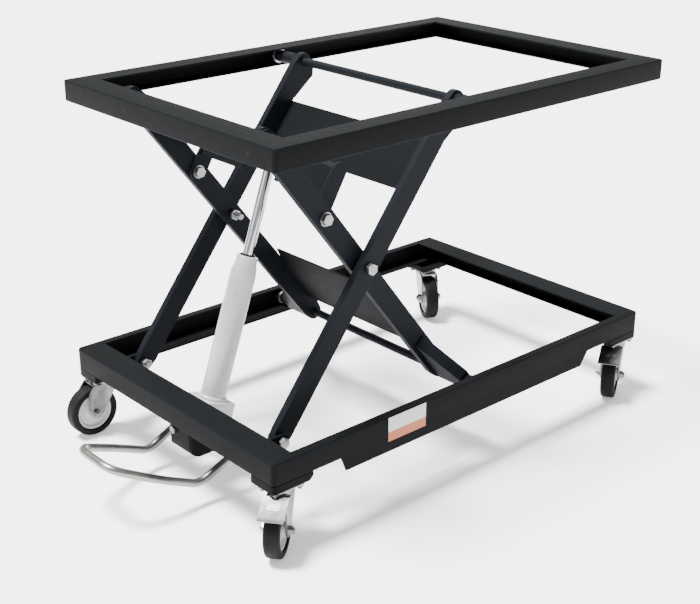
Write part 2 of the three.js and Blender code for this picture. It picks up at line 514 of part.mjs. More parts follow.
// A ring about the wheel axle, from a profile of radius and Y.
function turnedY(profile, side) {
  const ordered = side > 0 ? profile : [...profile].reverse();
  const closed = [...ordered, ordered[0]].map(([r, y]) => new THREE.Vector2(r, y));
  return solid(new THREE.LatheGeometry(closed, 24)).transform(
    new THREE.Matrix4().makeTranslation(AXLE[0], 0, AXLE[1]).toArray());
}
function tyre() {
  const half = TYRE_W / 2;
  const inner = RIM_R + GAP;
  return turnedY([[inner, -half], [WHEEL_R - 4, -half], [WHEEL_R, -half + 5],
    [WHEEL_R, half - 5], [WHEEL_R - 4, half], [inner, half]], 1);
}

function brakePedal() {
  const wide = FORK_Y + FORK_T + GAP;
  const tread = [[33, 113], [33, 109.5], [70, 91.5], [78, 91], [79, 93], [72, 94.8]];
  const plate = sidePlate(tread.map(([x, z]) => [x, z]).reverse(), -wide - 2, wide + 2);
  const ear = [[BRAKE_PIN[0] - 5, 90], [BRAKE_PIN[0] + 5, 89], [56, 97], [60, 98.5], [BRAKE_PIN[0] - 1, 108.5]];
  const ears = [-1, 1].map((s) => sidePlate(ear, s * wide, s * (wide + 2)));
  const pins = [-1, 1].map((s) => rodY(...BRAKE_PIN, 3, s * FORK_Y, s * (wide + 1), 16));
  return join(plate, ...ears, ...pins);
}

const CORNERS = [['front_right', 0, -1], ['back_right', 1, -1], ['front_left', 0, 1], ['back_left', 1, 1]];
for (const [name, end, side] of CORNERS) {
  const x = BASE_ENDS[end] + (end === 0 ? 1 : -1) * KINGPIN_IN[0];
  const y = side * (HALF_W - KINGPIN_IN[1]);
  const turn = new THREE.Matrix4().makeRotationZ(SWIVEL[name] * Math.PI / 180).setPosition(x, y, 0);
  const still = new THREE.Matrix4().makeTranslation(x, y, 0);
  add(`caster_pad_${name}`, pad4(end, side), 'frame');
  add(`caster_plate_${name}`, headPlate().transform(still.toArray()), 'zinc');
  add(`caster_fork_${name}`, fork(BRAKED.includes(name)).transform(turn.toArray()), 'zinc');
  add(`caster_hub_${name}`, hub().transform(turn.toArray()), 'hub');
  add(`caster_tyre_${name}`, tyre().transform(turn.toArray()), 'tyre');
  if (BRAKED.includes(name)) add(`brake_pedal_${name}`, brakePedal().transform(turn.toArray()), 'zinc');
}

// ---- label on the right-hand base rail -------------------------------------------------------------
const LABEL = [-239, -148, 128, 174];
add('label', solid(box(LABEL[0], LABEL[1], -HALF_W - GAP - 0.6, -HALF_W - GAP, LABEL[2], LABEL[3])), 'label');

// ---- origin: middle of the whole object's box, on the floor ----------------------------------------
const whole = new THREE.Box3().setFromObject(group);
const middle = whole.getCenter(new THREE.Vector3());
for (const mesh of group.children) mesh.geometry.translate(-middle.x, -middle.y, -whole.min.z);

export default group;
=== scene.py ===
# %% [markdown]
# # A scissor lift table on casters
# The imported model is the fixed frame: its pieces say where everything is, and this lesson gives them
# their looks. Round pieces are drawn again as smooth turned shapes, folded sheet gets the small rounded
# edges that a press brake leaves, and every finish is a node material that reads Object coordinates.

# %% Load the frame
import json
import math

import bmesh
import bpy
from mathutils import Matrix, Vector

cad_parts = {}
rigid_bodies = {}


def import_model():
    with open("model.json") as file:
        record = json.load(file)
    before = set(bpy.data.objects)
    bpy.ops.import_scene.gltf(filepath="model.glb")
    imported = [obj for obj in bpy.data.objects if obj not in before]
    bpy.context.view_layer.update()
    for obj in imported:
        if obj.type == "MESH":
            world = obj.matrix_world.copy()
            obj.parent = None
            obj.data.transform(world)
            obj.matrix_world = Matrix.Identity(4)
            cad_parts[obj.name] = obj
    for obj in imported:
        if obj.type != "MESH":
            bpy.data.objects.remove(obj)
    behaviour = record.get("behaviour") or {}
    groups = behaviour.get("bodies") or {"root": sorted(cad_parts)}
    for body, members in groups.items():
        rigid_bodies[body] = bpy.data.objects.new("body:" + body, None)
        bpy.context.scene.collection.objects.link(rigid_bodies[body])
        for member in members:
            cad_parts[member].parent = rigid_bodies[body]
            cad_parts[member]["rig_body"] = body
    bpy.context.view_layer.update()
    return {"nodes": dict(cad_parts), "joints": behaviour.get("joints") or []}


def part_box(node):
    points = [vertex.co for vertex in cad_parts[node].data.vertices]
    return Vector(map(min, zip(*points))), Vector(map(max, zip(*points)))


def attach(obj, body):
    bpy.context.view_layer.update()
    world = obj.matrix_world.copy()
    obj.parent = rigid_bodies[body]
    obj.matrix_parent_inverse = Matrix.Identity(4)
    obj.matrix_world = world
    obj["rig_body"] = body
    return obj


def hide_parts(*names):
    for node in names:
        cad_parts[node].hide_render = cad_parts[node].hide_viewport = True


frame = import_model()
nodes = frame["nodes"]
MM = 0.001


def mid(node):
    """Centre of a CAD node's box."""
    low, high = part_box(node)
    return (Vector(low) + Vector(high)) / 2


def body_of_node(node):
    return nodes[node]["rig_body"]


low_end = Vector(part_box("platform_rail_front")[0])
high_end = Vector(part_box("platform_rail_back")[1])
table = (low_end + high_end) / 2
table.z = 0.0
print("platform centre", tuple(round(v, 4) for v in table))

# %% [markdown]
# ## Camera
# The table is seen from the pedal end and from a little above the platform, with a 66 mm lens, so the
# uprights converge very slightly. The camera is placed from the platform's own centre.

# %% Camera
camera_data = bpy.data.cameras.new("camera")
camera_data.lens = 66.0
camera_data.sensor_width = 36.0
camera = bpy.data.objects.new("camera", camera_data)
bpy.context.scene.collection.objects.link(camera)
eye = table + Vector((-1.5957, -1.7365, 1.2146))
aim = table + Vector((0.2281, 0.3224, 0.0669))
camera.location = eye
camera.rotation_euler = (aim - eye).to_track_quat("-Z", "Y").to_euler()
bpy.context.scene.camera = camera
print("camera distance", round((aim - eye).length, 3))

# %% [markdown]
# ## Finishes
# Every finish is built from the same small kit: a slow noise that varies the colour, a finer one that
# varies the roughness, and a bump at the scale of the real surface. Powder coat has a fine orange-peel
# bump, plated and polished steel a cloudy tone, and rubber a matt skin.


# %% Material kit
class Finish:
    """A node material with shortcuts for noise, ramps and bump."""

    def __init__(self, name, colour, roughness, metallic=0.0, coat=0.0):
        self.material = bpy.data.materials.new(name)
        self.material.use_nodes = True
        self.tree = self.material.node_tree
        self.shader = self.tree.nodes["Principled BSDF"]
        self.shader.inputs["Base Color"].default_value = (*colour, 1.0)
        self.shader.inputs["Roughness"].default_value = roughness
        self.shader.inputs["Metallic"].default_value = metallic
        self.shader.inputs["Coat Weight"].default_value = coat
        self.shader.inputs["Coat Roughness"].default_value = 0.25
        self.place = self.tree.nodes.new("ShaderNodeTexCoord").outputs["Object"]

    def link(self, a, b):
        self.tree.links.new(a, b)

    def noise(self, scale, detail=3.0):
        node = self.tree.nodes.new("ShaderNodeTexNoise")
        node.inputs["Scale"].default_value = scale
        node.inputs["Detail"].default_value = detail
        self.link(self.place, node.inputs["Vector"])
        return node.outputs["Fac"]

    def ramp(self, factor, low, high, at=(0.3, 0.7)):
        node = self.tree.nodes.new("ShaderNodeValToRGB")
        node.color_ramp.elements[0].position = at[0]
        node.color_ramp.elements[1].position = at[1]
        node.color_ramp.elements[0].color = (*low, 1.0)
        node.color_ramp.elements[1].color = (*high, 1.0)
        self.link(factor, node.inputs["Fac"])
        return node.outputs["Color"]

    def span(self, factor, low, high):
        node = self.tree.nodes.new("ShaderNodeMapRange")
        node.inputs["From Min"].default_value = 0.3
        node.inputs["From Max"].default_value = 0.7
        node.inputs["To Min"].default_value = low
        node.inputs["To Max"].default_value = high
        self.link(factor, node.inputs["Value"])
        return node.outputs["Result"]

    def bump(self, height, distance, strength=0.4):
        node = self.tree.nodes.new("ShaderNodeBump")
        node.inputs["Strength"].default_value = strength
        node.inputs["Distance"].default_value = distance
        self.link(height, node.inputs["Height"])
        self.link(node.outputs["Normal"], self.shader.inputs["Normal"])

    def colour(self, output):
        self.link(output, self.shader.inputs["Base Color"])

    def roughness(self, output):
        self.link(output, self.shader.inputs["Roughness"])


print("material kit ready")


# %% Powder coats
def powder_coat(name, dark, light, rough):
    finish = Finish(name, dark, rough)
    finish.shader.inputs["Specular IOR Level"].default_value = 0.05
    finish.colour(finish.ramp(finish.noise(5.0), dark, light, (0.2, 0.8)))
    finish.roughness(finish.span(finish.noise(90.0), rough - 0.02, rough + 0.03))
    finish.bump(finish.noise(1400.0, 2.0), 0.00006, 0.35)
    return finish.material


frame_coat = powder_coat("frame_powder_coat", (0.0026, 0.0031, 0.0036), (0.0031, 0.0037, 0.0042), 0.62)
arm_coat = powder_coat("arm_powder_coat", (0.0041, 0.0052, 0.0070), (0.0051, 0.0064, 0.0084), 0.54)
print("powder coats", frame_coat.name, arm_coat.name)


# %% Metals
def plated(name, dark, light, rough, spangle, grain):
    finish = Finish(name, light, rough, metallic=1.0)
    finish.colour(finish.ramp(finish.noise(spangle, 2.0), dark, light, (0.2, 0.8)))
    finish.roughness(finish.span(finish.noise(spangle * 4.0), rough - 0.03, rough + 0.05))
    finish.bump(finish.noise(grain), 0.00004, 0.3)
    return finish.material


zinc = plated("bright_zinc", (0.15, 0.152, 0.152), (0.25, 0.253, 0.256), 0.30, 70.0, 900.0)
polished = plated("polished_steel", (0.19, 0.186, 0.175), (0.26, 0.255, 0.24), 0.33, 25.0, 1500.0)
chrome = plated("hard_chrome", (0.36, 0.37, 0.38), (0.46, 0.47, 0.48), 0.10, 20.0, 2500.0)
print("metals", zinc.name, polished.name, chrome.name)


# %% Paint, rubber and moulded plastic
def skin(name, dark, light, rough, patch, grain, depth, coat=0.0):
    finish = Finish(name, light, rough, coat=coat)
    finish.colour(finish.ramp(finish.noise(patch), dark, light))
    finish.roughness(finish.span(finish.noise(patch * 6.0), rough - 0.06, rough + 0.08))
    finish.bump(finish.noise(grain, 2.0), depth, 0.4)
    return finish.material


pump_paint = skin("pump_paint", (0.34, 0.34, 0.335), (0.42, 0.42, 0.41), 0.30, 14.0, 700.0, 0.00008,
                  coat=0.3)
rubber = skin("tyre_rubber", (0.0022, 0.0022, 0.0023), (0.0034, 0.0034, 0.0034), 0.66, 40.0, 1800.0, 0.00008)
rubber.node_tree.nodes["Principled BSDF"].inputs["Specular IOR Level"].default_value = 0.12
hub_plastic = skin("hub_plastic", (0.32, 0.325, 0.325), (0.42, 0.425, 0.425), 0.42, 30.0, 900.0, 0.00005)
print("skins", pump_paint.name, rubber.name, hub_plastic.name)

# %% Label finish
LABEL_WHITE = (0.46, 0.45, 0.43)
LABEL_ORANGE = (0.34, 0.072, 0.003)
BAND_SHARE = 0.40
label_low, label_high = (Vector(v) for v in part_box("label"))
label_paper = Finish("label_print", LABEL_WHITE, 0.35)
split = label_paper.tree.nodes.new("ShaderNodeSeparateXYZ")
label_paper.link(label_paper.place, split.inputs["Vector"])
band = label_paper.tree.nodes.new("ShaderNodeMath")
band.operation = "LESS_THAN"
band.inputs[1].default_value = label_low.z + BAND_SHARE * (label_high.z - label_low.z)
label_paper.link(split.outputs["Z"], band.inputs[0])
label_paper.colour(label_paper.ramp(band.outputs[0], LABEL_WHITE, LABEL_ORANGE, (0.45, 0.55)))
label_paper.bump(label_paper.noise(500.0), 0.00002, 0.2)
print("label from", round(label_low.z, 3), "to", round(label_high.z, 3))

# %% [markdown]
# ## Helpers for shapes
# `finished` takes a CAD solid, joins its loose triangles, and rounds its edges with a Bevel modifier.
# `turned` spins a profile, already rounded at its corners, about an axis. Both mark an edge as sharp
# only where the surface really turns, so curved walls shade smoothly.


# %% Shape helpers
SHARP = math.radians(32)


def adopt(obj, body, replaces=()):
    """Links a piece to its body, and hides the CAD nodes it stands for."""
    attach(obj, body)
    if replaces:
        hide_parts(*replaces)
    return obj


def mark_sharp(bm):
    for face in bm.faces:
        face.smooth = True
    for edge in bm.edges:
        flat = len(edge.link_faces) == 2 and edge.calc_face_angle(0.0) < SHARP
        edge.smooth = flat


def object_from(bm, name, material):
    mesh = bpy.data.meshes.new(name)
    bm.to_mesh(mesh)
    bm.free()
    obj = bpy.data.objects.new(name, mesh)
    bpy.context.scene.collection.objects.link(obj)
    mesh.materials.append(material)
    return obj


def finished(node, material, edge=0.8, segments=2):
    """A copy of a CAD node with rounded edges."""
    bm = bmesh.new()
    bm.from_mesh(nodes[node].data)
    bmesh.ops.remove_doubles(bm, verts=bm.verts, dist=0.00001)
    bmesh.ops.dissolve_limit(bm, angle_limit=math.radians(0.5), verts=bm.verts, edges=bm.edges)
    mark_sharp(bm)
    obj = object_from(bm, f"{node}_finished", material)
    if edge:
        bevel = obj.modifiers.new("edges", "BEVEL")
        bevel.width = edge * MM
        bevel.segments = segments
        bevel.limit_method = "ANGLE"
        bevel.angle_limit = SHARP
        bevel.use_clamp_overlap = True
    return adopt(obj, body_of_node(node), (node,))


def soft(profile, radius, steps=3):
    """Rounds the inner corners of a profile of (radius, along) points."""
    points = [Vector(p) for p in profile]
    out = [points[0]]
    for before, here, after in zip(points, points[1:], points[2:]):
        back, on = before - here, after - here
        reach = min(radius, back.length * 0.45, on.length * 0.45)
        start = here + back.normalized() * reach
        end = here + on.normalized() * reach
        for i in range(steps + 1):
            t = i / steps
            out.append(start * (1 - t) ** 2 + here * 2 * t * (1 - t) + end * t * t)
    out.append(points[-1])
    return out


def turned(name, profile, origin, axis, material, body, replaces=(), round_by=0.8, sides=64):
    """Spins a profile in mm about an axis through origin.

    The profile runs from the axis to the axis, or closes on itself.
    """
    closed = profile[0] == profile[-1]
    points = [p * MM for p in soft(profile, round_by)]
    axis = Vector(axis).normalized()
    side = axis.orthogonal().normalized()
    other = axis.cross(side)
    bm = bmesh.new()
    rings = []
    for radius, along in (points[:-1] if closed else points):
        centre = Vector(origin) + axis * along
        if radius < 1e-7:
            rings.append([bm.verts.new(centre)])
            continue
        turn = [2 * math.pi * i / sides for i in range(sides)]
        around = [side * math.cos(a) + other * math.sin(a) for a in turn]
        rings.append([bm.verts.new(centre + way * radius) for way in around])
    pairs = list(zip(rings, rings[1:])) + ([(rings[-1], rings[0])] if closed else [])
    for a, b in pairs:
        for i in range(sides):
            j = (i + 1) % sides
            corners = [a[i % len(a)], a[j % len(a)], b[j % len(b)], b[i % len(b)]]
            unique = list(dict.fromkeys(corners))
            if len(unique) > 2:
                bm.faces.new(unique)
    bmesh.ops.recalc_face_normals(bm, faces=bm.faces)
    mark_sharp(bm)
    return adopt(object_from(bm, name, material), body, replaces)


print("helpers ready")

# %% [markdown]
# ## Frames
# Each frame is four lengths of pressed channel, welded and painted so that no seam shows. The section is
# a C with rounded folds; it is carried once round a rounded rectangle, with a mitre at each corner where
# the flanges of a side rail and an end rail, which differ in width, meet.


# %% Channel frame
WALL = 3.0
INNER_BEND = 1
EASE = 0.4
CORNER_R = 8.0
CORNER_STEPS = 8
PLATFORM_RAIL = 38
PLATFORM_SIDES = (45, 28)
PLATFORM_ENDS = (52, 32)
BASE_RAIL = 41
BASE_SIDES = (18, 38)
BASE_ENDS = (52, 28)


def fold(cx, cz, radius, start, steps=4):
    """A quarter turn of a fold as (inset, height) points."""
    turn = [math.radians(start + 90 * i / steps) for i in range(steps + 1)]
    return [(cx + radius * math.cos(a), cz + radius * math.sin(a)) for a in turn]


def channel(height, top, bottom, bend, low_bend):
    """The C section in mm: inset from the outer face, and height above the rail's underside."""
    upper = fold(bend, height - bend, bend, 90)
    lower = fold(low_bend, low_bend, low_bend, 180)
    inner_low = fold(WALL + INNER_BEND, WALL + INNER_BEND, INNER_BEND, 180)[::-1]
    inner_high = fold(WALL + INNER_BEND, height - WALL - INNER_BEND, INNER_BEND, 90)[::-1]
    tip = [(bottom - EASE, 0.0), (bottom, EASE), (bottom, WALL - EASE), (bottom - EASE, WALL)]
    cap = [(top - EASE, height - WALL), (top, height - WALL + EASE), (top, height - EASE),
           (top - EASE, height)]
    return upper + lower + tip + inner_low + inner_high + cap


def channel_frame(name, low, high, rise, sides, ends, bend, low_bend, body, replaces):
    """Carries the section round the frame. sides and ends are the (top, bottom) flange widths in mm."""
    section_side = channel(rise, *sides, bend, low_bend)
    section_end = channel(rise, *ends, bend, low_bend)
    bm = bmesh.new()
    rings = []
    for sx, sy, start in ((1, 1, 0), (-1, 1, 90), (-1, -1, 180), (1, -1, 270)):
        x_face = (high.x if sx > 0 else low.x) / MM
        y_face = (high.y if sy > 0 else low.y) / MM
        for i in range(CORNER_STEPS + 1):
            a = math.radians(start + 90 * i / CORNER_STEPS)
            ring = []
            for (inset_y, z), (inset_x, _) in zip(section_side, section_end):
                reach_x, reach_y = max(CORNER_R - inset_x, 0), max(CORNER_R - inset_y, 0)
                x = x_face - sx * max(CORNER_R, inset_x) + reach_x * math.cos(a)
                y = y_face - sy * max(CORNER_R, inset_y) + reach_y * math.sin(a)
                ring.append(bm.verts.new(Vector((x, y, low.z / MM + z)) * MM))
            rings.append(ring)
    count = len(section_side)
    for a, b in zip(rings, rings[1:] + rings[:1]):
        for i in range(count):
            j = (i + 1) % count
            bm.faces.new((a[i], a[j], b[j], b[i]))
    bmesh.ops.remove_doubles(bm, verts=bm.verts, dist=1e-6)
    bmesh.ops.dissolve_degenerate(bm, dist=1e-7, edges=bm.edges)
    bmesh.ops.recalc_face_normals(bm, faces=bm.faces)
    mark_sharp(bm)
    return adopt(object_from(bm, name, frame_coat), body, replaces)


def frame_box(kind):
    names = [f"{kind}_rail_{word}" for word in ("left", "right", "front", "back")]
    boxes = [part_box(n) for n in names]
    low = Vector([min(b[0][k] for b in boxes) for k in range(3)])
    high = Vector([max(b[1][k] for b in boxes) for k in range(3)])
    return names, low, high


table_names, table_low, table_high = frame_box("platform")
channel_frame("platform_frame", table_low, table_high, PLATFORM_RAIL, PLATFORM_SIDES, PLATFORM_ENDS, 2.6, 2.6,
              "platform", table_names)
base_names, base_low, base_high = frame_box("base")
base_low.z = base_high.z - BASE_RAIL * MM
channel_frame("base_frame", base_low, base_high, BASE_RAIL, BASE_SIDES, BASE_ENDS, 2.6, 1.2,
              "base", base_names)
print("platform", [round(v, 3) for v in table_low], "base", [round(v, 3) for v in base_low])


# %% Holes in the pedal-end platform rail, drawn as near-black discs of painted shade
HOLE_R = 3.2
HOLE_DROP = 0.019
HOLES_ACROSS = (-0.240, 0.100)
for k, across in enumerate(HOLES_ACROSS):
    hole_at = Vector((table_low.x, table.y + across, table_high.z - HOLE_DROP))
    profile = [(0, -0.12), (HOLE_R, -0.12), (HOLE_R, 1.0), (0, 1.0)]
    # Each hole is a thin disc in the near-black tyre finish, set flush on the rail face: painted shade in
    # place of an opening.
    turned(f"rail_hole_{k}", profile, hole_at, (1, 0, 0), rubber, "platform", (), 0.05, 32)
print("rail holes set")


# %% Plates cut to an outline
def flat_plate(name, outline, y0, y1, material, body, edge=0.6, replaces=()):
    """A sheet piece from an outline of (x, z) points in metres, between two Y planes."""
    bm = bmesh.new()
    front = [bm.verts.new((x, y0, z)) for x, z in outline]
    back = [bm.verts.new((x, y1, z)) for x, z in outline]
    bm.faces.new(front)
    bm.faces.new(back[::-1])
    for i in range(len(outline)):
        j = (i + 1) % len(outline)
        bm.faces.new((front[i], back[i], back[j], front[j]))
    bmesh.ops.recalc_face_normals(bm, faces=bm.faces)
    mark_sharp(bm)
    obj = object_from(bm, name, material)
    bevel = obj.modifiers.new("edges", "BEVEL")
    bevel.width = edge * MM
    bevel.segments = 2
    bevel.limit_method = "ANGLE"
    bevel.angle_limit = SHARP
    return adopt(obj, body, replaces)


def lug_outline(face_x, pin, radius):
    nose = [(pin.x + radius * math.cos(a), pin.z + radius * math.sin(a))
            for a in (math.radians(90 - 180 * i / 16) for i in range(17))]
    return [(face_x, pin.z - radius), (face_x, pin.z + radius)] + nose


LUG_R = 0.0149
BASE_LUG = (0.216, 0.222)
PLATFORM_LUG = (0.193, 0.199)
APRON_X = (-336, 288, 309, -347.5)
APRON_LOW = 0.1075
APRON_HIGH = 0.1375
joints = {joint["name"]: joint for joint in frame["joints"]}
for word, side in (("left", 1), ("right", -1)):
    pin = Vector(joints["lift"]["pos_m"])
    flat_plate(f"base_lug_{word}", lug_outline(base_low.x + 0.002, pin, LUG_R),
               table.y + side * BASE_LUG[0], table.y + side * BASE_LUG[1], frame_coat, "base")
    pin = Vector(joints["platform_pivot"]["pos_m"])
    flat_plate(f"platform_lug_{word}", lug_outline(table_low.x + 0.002, pin, LUG_R),
               table.y + side * PLATFORM_LUG[0], table.y + side * PLATFORM_LUG[1], frame_coat, "platform")
    face = base_high.y if side > 0 else base_low.y
    x = [table.x + v * MM for v in APRON_X]
    apron = [(x[0], APRON_LOW), (x[1], APRON_LOW), (x[2], APRON_HIGH), (x[3], APRON_HIGH)]
    flat_plate(f"apron_{word}", apron, face + side * 0.00004, face - side * 0.003, frame_coat, "base",
               0.5)
print("lugs and aprons cut")

# %% Pads and bracket
for node in sorted(nodes):
    if node.startswith("caster_pad") or node == "pump_bracket":
        finished(node, frame_coat, 1.4, 3)
print("pads and bracket finished")

# %% [markdown]
# ## Scissor arms and plates
# The arms are rectangular tube with rounded corners; the plates between them are flat sheet.

# %% Arms and plates
for node in sorted(nodes):
    if node.startswith(("inner_arm", "outer_arm")):
        finished(node, arm_coat, 1.3, 3)
    if node in ("lever_left", "lever_right"):
        finished(node, arm_coat, 0.8)
    if node.endswith("cross_plate"):
        finished(node, frame_coat, 0.8)
print("arms finished")

# %% Bolts and pins
for node in sorted(nodes):
    if "bolt" in node or node in ("bracket_screw", "pump_pin", "rod_head"):
        finished(node, zinc, 0.7)
finished("pump_block", pump_paint, 2.0, 3)
finished("label", label_paper.material, 0.1)
print("fasteners finished")

# %% [markdown]
# ## Round pieces
# A turned piece is drawn again from its profile, because facets would show in its highlight.

# %% Axles, crossbar and rollers
ACROSS = Vector((0.0, 1.0, 0.0))
AXLE_R = 8
COLLAR_R = 11.5
COLLAR_END = 275
COLLAR_START = {"upper_axle": 215.3, "lower_axle": 264.3}
NUT_SIDE = {"upper_axle": 223.0, "lower_axle": 266.0}
for node in ("upper_axle", "lower_axle"):
    centre = mid(node)
    half = (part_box(node)[1][1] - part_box(node)[0][1]) / 2 / MM
    start = COLLAR_START[node]
    collar = [(AXLE_R, start), (COLLAR_R, start), (COLLAR_R, COLLAR_END), (AXLE_R, COLLAR_END)]
    mirrored = [(radius, -place) for radius, place in reversed(collar)]
    outline = [(0, -half), (AXLE_R, -half)] + mirrored + collar + [(AXLE_R, half), (0, half)]
    turned(f"{node}_bar", outline, centre, ACROSS, arm_coat, body_of_node(node), (node,))
    nut = [(8.1, -3), (13.5, -3), (13.5, 3), (8.1, 3), (8.1, -3)]
    for word, side in (("left", 1), ("right", -1)):
        at = centre + ACROSS * side * (NUT_SIDE[node] + 3.0) * MM
        turned(f"{node}_nut_{word}", nut, at, ACROSS, arm_coat, body_of_node(node), (), 0.4, 6)

BAR_R = 11.0
bar_low, bar_high = (Vector(v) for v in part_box("lever_crossbar"))
centre = Vector((bar_high.x - BAR_R * MM, table.y, bar_high.z - BAR_R * MM))
half = (bar_high.y - bar_low.y) / 2 / MM
turned("crossbar_tube", [(0, -half), (BAR_R, -half), (BAR_R, half), (0, half)], centre, ACROSS, arm_coat,
       body_of_node("lever_crossbar"), ("lever_crossbar",))
LEVER_END_R = 18
WEB_START = 0.045
lever_low = Vector(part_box("lever_left")[0])
lever_foot = Vector((lever_low.x + LEVER_END_R * MM, table.y, lever_low.z + LEVER_END_R * MM))
along = (centre - lever_foot).normalized()
outward = Vector((-along.z, 0.0, along.x))
web = [centre - along * a * MM + outward * b * MM for a, b in ((-2, 8), (-2, 12), (52, 12), (52, 8))]
for word, side in (("left", 1), ("right", -1)):
    flat_plate(f"lever_web_{word}", [(p.x, p.z) for p in web], table.y + side * WEB_START,
               table.y + side * half * MM, frame_coat, "inner_arms", 0.5)
ROLLER_R = 15.2
ROLLER_BORE = 8.3
for node in sorted(n for n in nodes if "_roller_" in n):
    ring = [(ROLLER_BORE, -10), (ROLLER_R, -10), (ROLLER_R, 10), (ROLLER_BORE, 10), (ROLLER_BORE, -10)]
    turned(f"{node}_wheel", ring, mid(node), ACROSS, zinc, body_of_node(node), (node,))
print("axles and rollers drawn")

# %% Hydraulic cylinder
TUBE_FOOT = 52.9
TUBE_R = 23.5
TUBE_END = 322.7
BORE_R = 10.1
ROD_R = 9.75
pump_pin = Vector(joints["cylinder_tilt"]["pos_m"])
up = Vector(joints["piston_stroke"]["axis"]).normalized()
tube_profile = [(0, TUBE_FOOT), (TUBE_R, TUBE_FOOT), (TUBE_R, 286.7), (20.5, 305.7), (19.5, 309),
                (19.5, 320.7), (17.5, TUBE_END), (BORE_R, TUBE_END), (BORE_R, 300), (0, 300)]
turned("cylinder_barrel", tube_profile, pump_pin, up, pump_paint, "cylinder", ("cylinder_tube",),
       3.0, 96)
fillet = [(22, TUBE_FOOT), (28, TUBE_FOOT), (26.5, 57), (23.4, 59.5), (22, TUBE_FOOT)]
turned("cylinder_weld", fillet, pump_pin, up, pump_paint, "cylinder", (), 1.5, 96)
wiper = [(BORE_R, 321), (14, 321), (14, 324), (11, 325.5), (BORE_R, 325.5), (BORE_R, 321)]
turned("rod_wiper", wiper, pump_pin, up, rubber, "cylinder", (), 0.4)
rod_low = min(v.co.dot(up) for v in nodes["piston_rod"].data.vertices) - pump_pin.dot(up)
rod_high = max(v.co.dot(up) for v in nodes["piston_rod"].data.vertices) - pump_pin.dot(up)
rod_profile = [(0, rod_low / MM), (ROD_R, rod_low / MM), (ROD_R, rod_high / MM), (0, rod_high / MM)]
turned("piston_rod_bar", rod_profile, pump_pin, up, chrome, "piston", ("piston_rod",))
print("rod from", round(rod_low, 3), "to", round(rod_high, 3))

# %% [markdown]
# ## Foot pedal
# One bar of polished steel, bent to a loop that a shoe fits into. The centre line is a chain of straight
# lengths with rounded bends, and a round section is swept along it.


# %% Foot pedal
def bend_points(corners, radii, steps=10):
    path = [corners[0]]
    for before, here, after, radius in zip(corners, corners[1:], corners[2:], radii):
        start = here + (before - here).normalized() * radius
        end = here + (after - here).normalized() * radius
        for i in range(steps + 1):
            t = i / steps
            path.append(start * (1 - t) ** 2 + here * 2 * t * (1 - t) + end * t * t)
    path.append(corners[-1])
    return path


def bar(name, path, radius, material, body, replaces):
    """Sweeps a round bar along a path of points, with no twist."""
    sides = 32
    bm = bmesh.new()
    rings = []
    tangent = (path[1] - path[0]).normalized()
    side = tangent.orthogonal().normalized()
    for i, point in enumerate(path):
        ahead = path[min(i + 1, len(path) - 1)] - path[max(i - 1, 0)]
        ahead.normalize()
        side = (side - ahead * side.dot(ahead)).normalized()
        other = ahead.cross(side)
        turn = [2 * math.pi * k / sides for k in range(sides)]
        around = [side * math.cos(a) + other * math.sin(a) for a in turn]
        rings.append([bm.verts.new(point + way * radius) for way in around])
    for a, b in zip(rings, rings[1:]):
        for i in range(sides):
            j = (i + 1) % sides
            bm.faces.new((a[i], a[j], b[j], b[i]))
    bm.faces.new(rings[0])
    bm.faces.new(rings[-1])
    bmesh.ops.recalc_face_normals(bm, faces=bm.faces)
    mark_sharp(bm)
    return adopt(object_from(bm, name, material), body, replaces)


PEDAL_R = 7.5
CAM_R = 10
CAM_HALF = 16
pedal_pin = Vector(joints["pedal_press"]["pos_m"])
side_shape = [(0, 0, 84), (-47.6, -20, 84), (-102, -44, 81), (-177, -9.5, 76), (-259.5, 31, 53)]
half_loop = [pedal_pin + Vector((x, y, z)) * MM for x, z, y in side_shape]
mirror = [pedal_pin + Vector((x, -y, z)) * MM for x, z, y in reversed(side_shape)]
corners = [pedal_pin] + half_loop + mirror + [pedal_pin]
bends = [r * MM for r in (20, 20, 17, 30, 30, 30, 30, 17, 20, 20)]
bar("pedal_loop", bend_points(corners, bends), PEDAL_R * MM, polished, "foot_pedal", ("foot_pedal",))
cam = [(0, -CAM_HALF), (CAM_R, -CAM_HALF), (CAM_R, CAM_HALF), (0, CAM_HALF)]
turned("pedal_cam", cam, pedal_pin, ACROSS, zinc, "foot_pedal", ())
print("pedal pin at", tuple(round(v, 3) for v in pedal_pin))

# %% [markdown]
# ## Casters
# Each wheel is a rubber tyre on a moulded hub with a dished face. The forks and plates are pressed and
# zinc plated.

